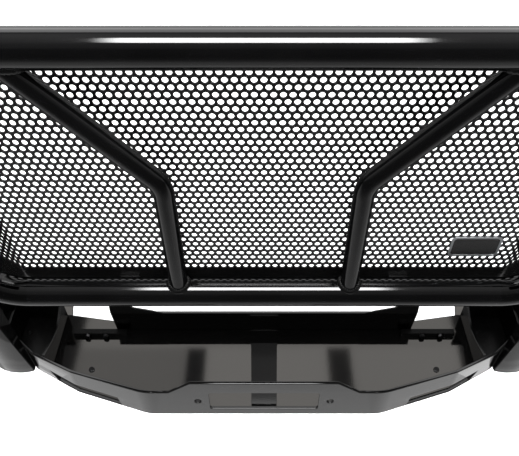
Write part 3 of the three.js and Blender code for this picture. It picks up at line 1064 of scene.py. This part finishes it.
def facing(position, target):
    """The turn that points an object's -Z from its position to a target."""
    return (Vector(target) - Vector(position)).to_track_quat("-Z", "Y").to_euler()


def light_only(lamp, receivers):
    """Makes the given pieces the only ones that a lamp lights."""
    group = bpy.data.collections.new(f"{lamp.name}_receivers")
    for piece in receivers:
        group.objects.link(piece)
    lamp.light_linking.receiver_collection = group


def area_light(name, position, target, size, level, receivers, colour):
    """A flat lamp of an even level, where 1 is white; receivers are the only pieces that it lights."""
    data = bpy.data.lights.new(name, "AREA")
    data.shape = "RECTANGLE"
    data.size, data.size_y = size
    data.energy = level * math.pi * size[0] * size[1]
    data.color = colour
    lamp = bpy.data.objects.new(name, data)
    lamp.location = position
    lamp.rotation_euler = facing(position, target)
    lamp.visible_camera = False
    bpy.context.scene.collection.objects.link(lamp)
    light_only(lamp, receivers)


def shown_pieces():
    """Everything that has a mesh and is rendered."""
    return [o for o in bpy.context.scene.objects if o.type == "MESH" and not o.hide_render]


def flat_card(name, size, material):
    """A level rectangle round the origin, from its width and depth."""
    x, y = size[0] / 2000, size[1] / 2000
    mesh = bpy.data.meshes.new(name)
    mesh.from_pydata([(-x, -y, 0), (x, -y, 0), (x, y, 0), (-x, y, 0)], [], [(0, 1, 2, 3)])
    mesh.materials.append(material)
    card = bpy.data.objects.new(name, mesh)
    bpy.context.scene.collection.objects.link(card)
    return card


def softbox_material(level):
    """Light of an even level that falls off smoothly at the edges."""
    material = bpy.data.materials.new("softbox")
    material.use_nodes = True
    tree = material.node_tree
    tree.nodes.clear()
    axes = generated_axes(tree)
    falls = []
    for axis, soft in (("X", 0.12), ("Y", 0.16)):
        away = add_math(tree, "ABSOLUTE", add_math(tree, "SUBTRACT", axes[axis], 0.5))
        limits = {"From Min": 0.5, "From Max": 0.5 - soft}
        fall = new_node(tree, "ShaderNodeMapRange", inputs=limits, interpolation_type="SMOOTHSTEP")
        tree.links.new(away, fall.inputs["Value"])
        falls.append(fall.outputs["Result"])
    strength = add_math(tree, "MULTIPLY", add_math(tree, "MULTIPLY", *falls), level)
    glow = new_node(tree, "ShaderNodeEmission")
    tree.links.new(strength, glow.inputs["Strength"])
    output = new_node(tree, "ShaderNodeOutputMaterial")
    tree.links.new(glow.outputs[0], output.inputs["Surface"])
    return material


def build_softbox(receivers):
    """A large soft lamp over the front, turned to the top tube."""
    position = placed((0, SOFTBOX["y"], SOFTBOX["z"]))
    size = (SOFTBOX["width"], SOFTBOX["depth"])
    card = flat_card("softbox", size, softbox_material(SOFTBOX["level"]))
    card.location = position
    card.rotation_euler = facing(position, placed((0, RING["y"], RING["top"])))
    card.visible_camera = False
    card.visible_shadow = False
    light_only(card, receivers)


def build_floor():
    """A plain white floor, bright enough to run into the white background."""
    material = bpy.data.materials.new("white_floor")
    material.use_nodes = True
    shader = material.node_tree.nodes["Principled BSDF"]
    shader.inputs["Base Color"].default_value = (0.8, 0.8, 0.8, 1)
    shader.inputs["Roughness"].default_value = 0.9
    shader.inputs["Emission Color"].default_value = (1, 1, 1, 1)
    shader.inputs["Emission Strength"].default_value = 0.93
    floor = flat_card("floor", (FLOOR_SIZE, FLOOR_SIZE), material)
    floor.visible_glossy = False


def flat_lamp(name, x, y, z, level, receivers, colour=(1, 1, 1), up=False):
    """A level lamp over or under some pieces, from its ranges of x and y in the drawing frame."""
    low, high = placed((x[0], y[0], z)), placed((x[1], y[1], z))
    middle = (low + high) / 2
    target = middle + np.array((0, 0, 1 if up else -1))
    area_light(name, middle, target, (high - low)[:2], level, receivers, colour)


def on_side(x, mirror):
    """A range of x on the right, or its mirror image on the left."""
    return sorted((mirror * x[0], mirror * x[1]))


def build_ceiling(lit):
    """The ceiling behind the guard; over the tray it is in panels with two dark gaps."""
    flat_lamp("rear_ceiling", (-2500, 2500), (800, 2700), CEILING_Z, 2.1, lit["rest"])
    for name, x, y, level in TRAY_CEILING:
        flat_lamp(name, x, y, CEILING_Z, level, lit["tray"], WARM)
    for i, (near, far, level) in enumerate(STRAP_CEILING):
        flat_lamp(f"strap_ceiling_{i}", (-400, 400), (near, far), CEILING_Z, level, lit["strap"])
    for side, mirror in SIDES:
        x = on_side((1250, 1750), mirror)
        flat_lamp(f"arm_ceiling_{side}", x, (1600, 2400), CEILING_Z, 2.6, lit["arms"], WARM)


def build_floor_lamps(lit):
    """Light from the floor close in front of the tray and its noses."""
    z = 1
    flat_lamp("floor_front", (-212, 212), (-700, -100), z, 0.56, lit["front"], up=True)
    for side, mirror in SIDES:
        for name, x, y, level, group in FLOOR_LAMPS:
            flat_lamp(f"floor_{name}_{side}", on_side(x, mirror), y, z, level, lit[group], up=True)


def build_lamps():
    """All the lamps; the ring's sides and the welds show no highlight from the softbox."""
    pieces = shown_pieces()
    lit = {group: [o for o in pieces if o.name.startswith(start)] for group, start in LIT.items()}
    lit["rest"] = [o for o in pieces if not o.name.startswith(NO_REAR_CEILING)]
    build_softbox([o for o in pieces if not o.name.startswith("ring_side") and "_weld_" not in o.name])
    build_ceiling(lit)
    build_floor_lamps(lit)


def build_camera():
    data = bpy.data.cameras.new("camera")
    data.sensor_width = CAMERA["sensor"]
    data.lens = CAMERA["lens"]
    data.shift_x = CAMERA["shift"]
    camera = bpy.data.objects.new("camera", data)
    camera.location = placed((0, CAMERA["y"], CAMERA["z"]))
    camera.rotation_euler = (math.radians(90 - CAMERA["down"]), 0, 0)
    bpy.context.scene.collection.objects.link(camera)
    bpy.context.scene.camera = camera


build_world()
build_floor()
build_lamps()
build_camera()
bpy.context.scene.view_settings.view_transform = "Standard"
